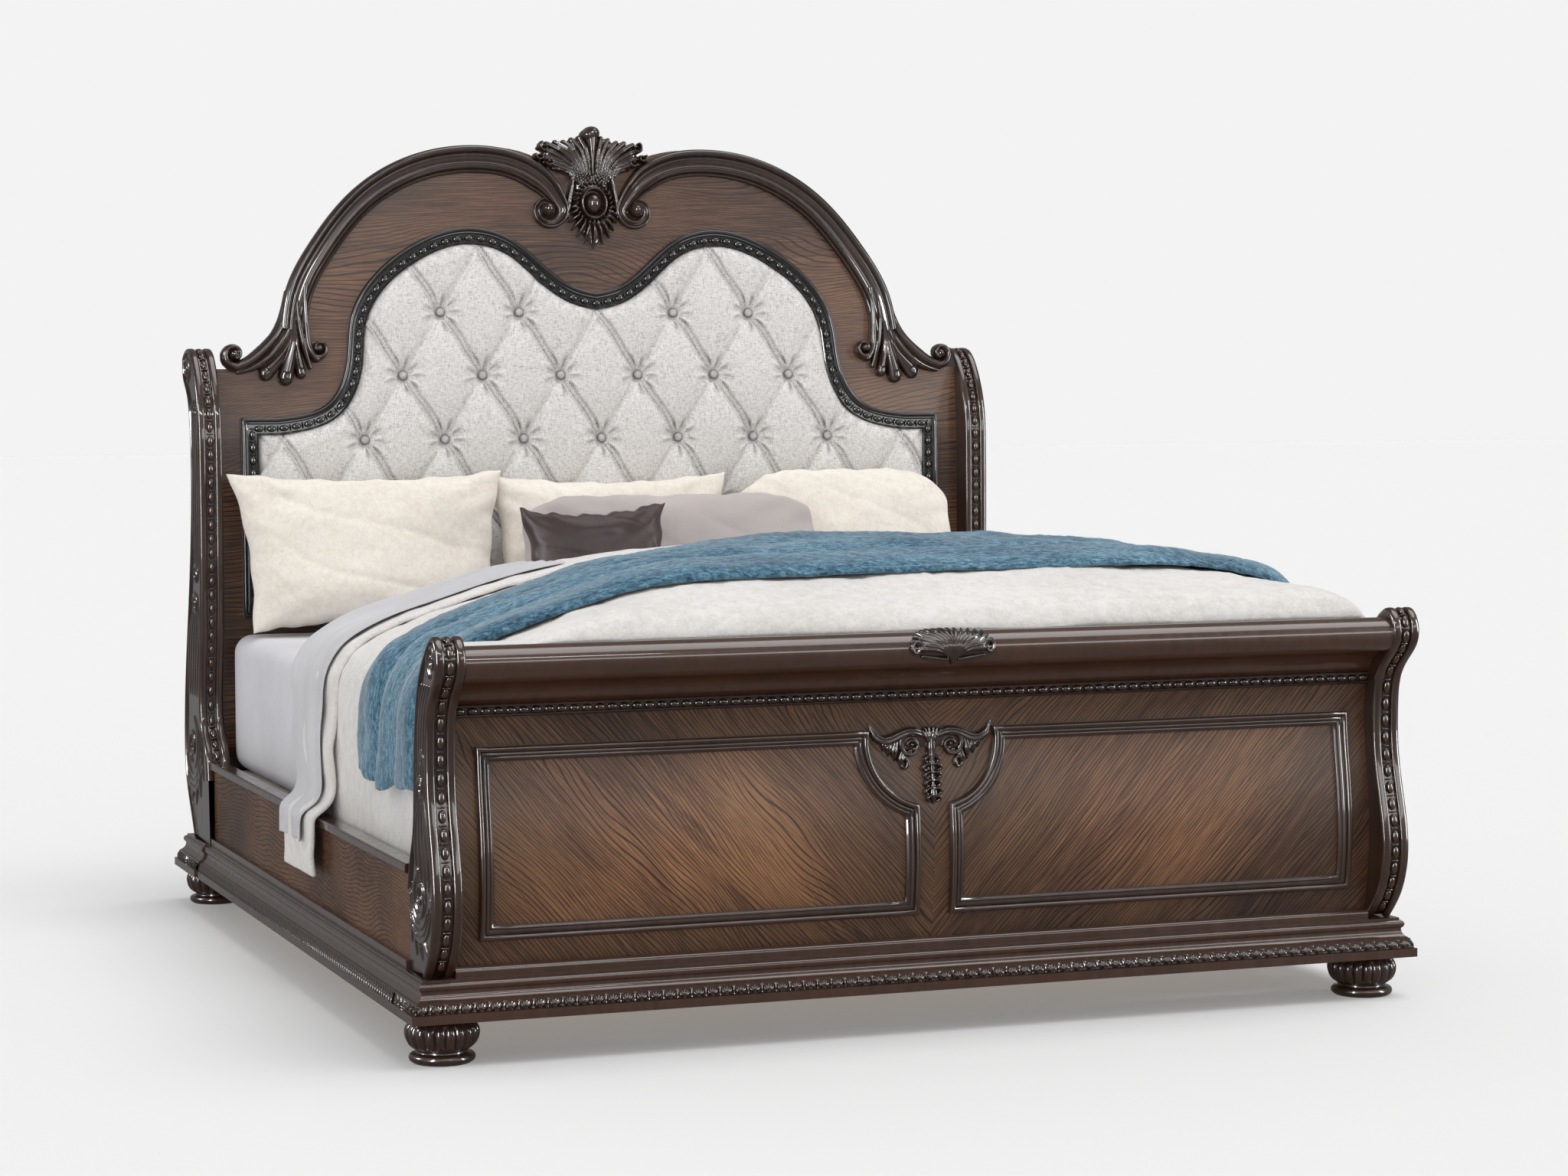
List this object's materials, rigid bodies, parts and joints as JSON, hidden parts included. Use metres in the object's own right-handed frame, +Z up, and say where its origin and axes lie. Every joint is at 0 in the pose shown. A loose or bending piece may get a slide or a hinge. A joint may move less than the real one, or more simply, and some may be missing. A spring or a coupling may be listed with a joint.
{
  "type": "sleigh bed",
  "caption": "Carved dark-wood sleigh bed with veneered panels, an arched tufted linen headboard, bun feet and layered bedding",
  "frame": {"origin": "on the floor, under the middle of the bed's overall box", "axes": "+X across the bed, to the right seen from the foot end; +Y from the foot end to the headboard; +Z up"},
  "size_m": [2.194, 2.5301, 1.982],
  "materials": {
    "walnut_veneer": "satin",
    "espresso_wood": "semi-gloss",
    "pine": "matte",
    "linen": "woven",
    "steel": "plain",
    "glide_plastic": "matte",
    "ticking": "woven",
    "fitted_sheet": "smooth cotton",
    "cream_fleece": "looped fleece",
    "grey_sheet": "smooth cotton",
    "blue_knit": "knitted",
    "mauve_cotton": "smooth cotton",
    "brown_satin": "satin"
  },
  "bodies": {
    "root": {"footboard_base": "espresso_wood", "footboard_carved_band": "espresso_wood", "footboard_base_bead": "espresso_wood", "footboard_panel": "walnut_veneer", "footboard_top_roll": "espresso_wood", "footboard_bead_strip": "espresso_wood", "panel_frame_right": "espresso_wood", "panel_frame_left": "espresso_wood", "footboard_applique": "espresso_wood", "roll_shell_carving": "espresso_wood", "footboard_post_beads": "espresso_wood", "footboard_post_carvings": "espresso_wood", "headboard_base": "espresso_wood", "headboard_carved_band": "espresso_wood", "headboard_panel": "walnut_veneer", "headboard_back_panel": "walnut_veneer", "headboard_lower_rail": "pine", "headboard_post_beads": "espresso_wood", "headboard_post_carvings": "espresso_wood", "upholstery_frame_moulding": "espresso_wood", "tufted_panel": "linen", "tufting_buttons": "linen", "crest_carving": "espresso_wood", "rail_carved_bands": "espresso_wood", "rail_hook_plates": "steel", "slat_cleats": "pine", "slats": "pine", "centre_beam": "pine", "centre_legs": "pine", "box_spring": "ticking", "mattress": "fitted_sheet", "duvet": "cream_fleece", "throw_blanket": "blue_knit", "flat_sheet": "grey_sheet", "cream_pillows": "cream_fleece", "grey_pillow": "mauve_cotton", "accent_cushion": "brown_satin", "bun_foot_front_left": "espresso_wood", "bun_foot_front_right": "espresso_wood", "bun_foot_back_left": "espresso_wood", "bun_foot_back_right": "espresso_wood", "footboard_post_right": "espresso_wood", "footboard_post_left": "espresso_wood", "headboard_post_right": "espresso_wood", "headboard_post_left": "espresso_wood", "arch_moulding_right": "espresso_wood", "arch_moulding_left": "espresso_wood", "shoulder_carving_right": "espresso_wood", "shoulder_carving_left": "espresso_wood", "side_rail_right": "walnut_veneer", "side_rail_left": "walnut_veneer", "rail_cap_right": "espresso_wood", "rail_cap_left": "espresso_wood", "rail_base_right": "espresso_wood", "rail_base_left": "espresso_wood"},
    "glide_front": {"levelling_glide_front": "glide_plastic"},
    "glide_middle": {"levelling_glide_middle": "glide_plastic"},
    "glide_rear": {"levelling_glide_rear": "glide_plastic"}
  },
  "joints": [
    {"name": "glide_front_height", "type": "slide", "parent": "root", "child": "glide_front", "axis": [0, 0, 1], "range_m": [-0.012, 0.01]},
    {"name": "glide_middle_height", "type": "slide", "parent": "root", "child": "glide_middle", "axis": [0, 0, 1], "range_m": [-0.012, 0.01]},
    {"name": "glide_rear_height", "type": "slide", "parent": "root", "child": "glide_rear", "axis": [0, 0, 1], "range_m": [-0.012, 0.01]}
  ]
}
